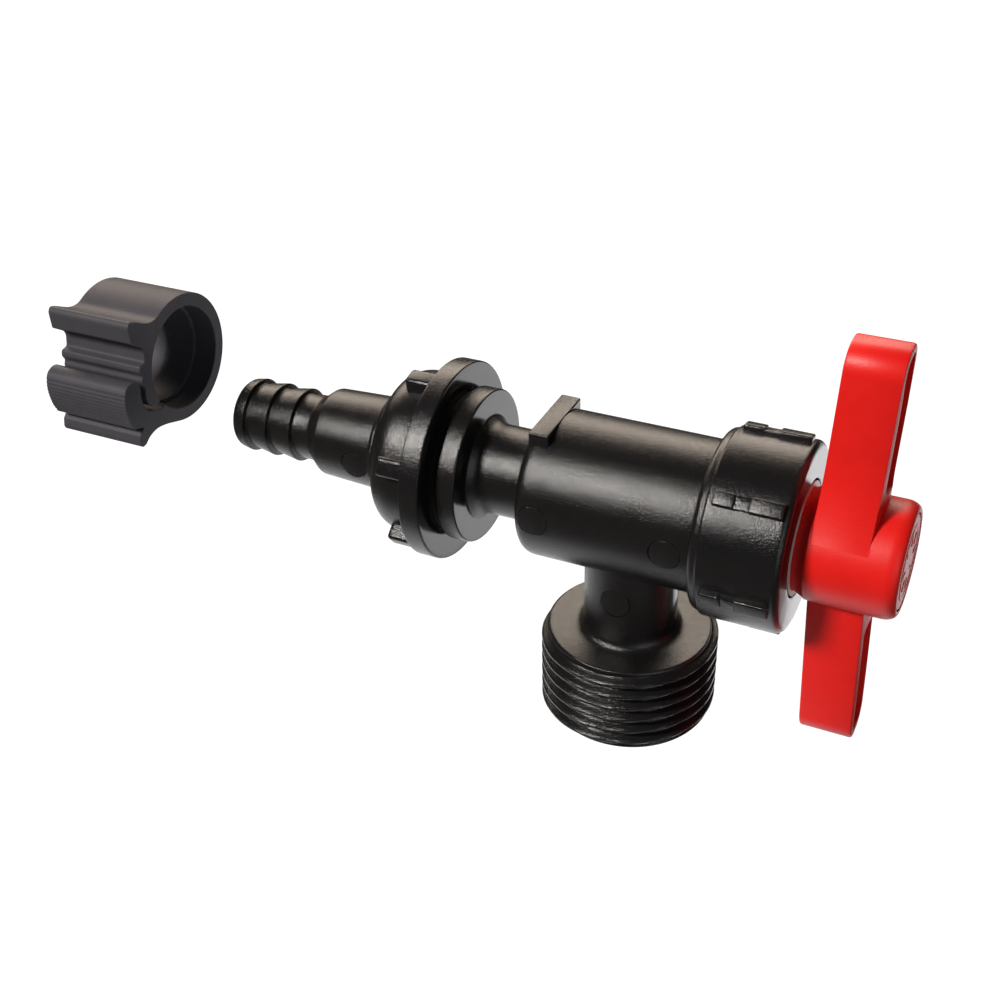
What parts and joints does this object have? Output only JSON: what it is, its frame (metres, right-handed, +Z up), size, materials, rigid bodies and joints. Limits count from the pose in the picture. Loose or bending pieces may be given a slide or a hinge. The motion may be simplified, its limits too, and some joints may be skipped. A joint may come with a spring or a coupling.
{
  "type": "bulkhead wash-down valve",
  "caption": "Panel-mounted rotary valve with a barbed inlet, lugged bulkhead nut, threaded hose outlet pointing down, ribbed bonnet nut, T-shaped handle and a loose hose clip.",
  "frame": {"origin": "flow axis at the panel seat, the collar face that the panel is clamped against", "axes": "+X along the flow axis from the inlet barb towards the handle, +Z up, outlet pointing down along -Z"},
  "size_m": [0.1335, 0.0314, 0.0691],
  "materials": {
    "black_moulding": "fine spark-eroded texture, slight sheen",
    "nut_moulding": "fine texture, satin",
    "handle_red": "satin gloss",
    "clip_charcoal": "matte",
    "acetal_white": "smooth",
    "seal_rubber": "matte",
    "stainless": "bright"
  },
  "bodies": {
    "body": {"valve_body": "black_moulding", "bonnet_nut": "nut_moulding", "port_seal": "seal_rubber", "gland_ring": "acetal_white", "stem_oring": "seal_rubber", "neck_bush": "acetal_white"},
    "rotor": {"valve_plug": "acetal_white", "t_handle": "handle_red", "hub_cap": "handle_red", "handle_screw": "stainless", "screw_washer": "stainless", "plug_oring_inner": "seal_rubber", "plug_oring_outer": "seal_rubber", "thrust_washer": "acetal_white"},
    "panel_washer": {"bulkhead_washer": "seal_rubber"},
    "panel_nut": {"bulkhead_nut": "nut_moulding"},
    "clip": {"hose_clip": "clip_charcoal"}
  },
  "joints": [
    {"name": "handle_turn", "type": "hinge", "parent": "body", "child": "rotor", "pos_m": [0.0544, 0, 0], "axis": [1, 0, 0], "range_deg": [0, 90]},
    {"name": "nut_travel", "type": "slide", "parent": "body", "child": "panel_washer", "axis": [-1, 0, 0], "range_m": [0, 0.006]},
    {"name": "nut_screw", "type": "hinge", "parent": "panel_washer", "child": "panel_nut", "pos_m": [-0.006, 0, 0], "axis": [-1, 0, 0], "range_deg": [0, 1080]},
    {"name": "clip_slide", "type": "slide", "parent": "body", "child": "clip", "axis": [0.9317, 0, -0.3633], "range_m": [0, 0.0259]}
  ],
  "couplings": [
    {"joint": "nut_screw", "follows": "nut_travel", "rad_per_m": 3141.6}
  ]
}
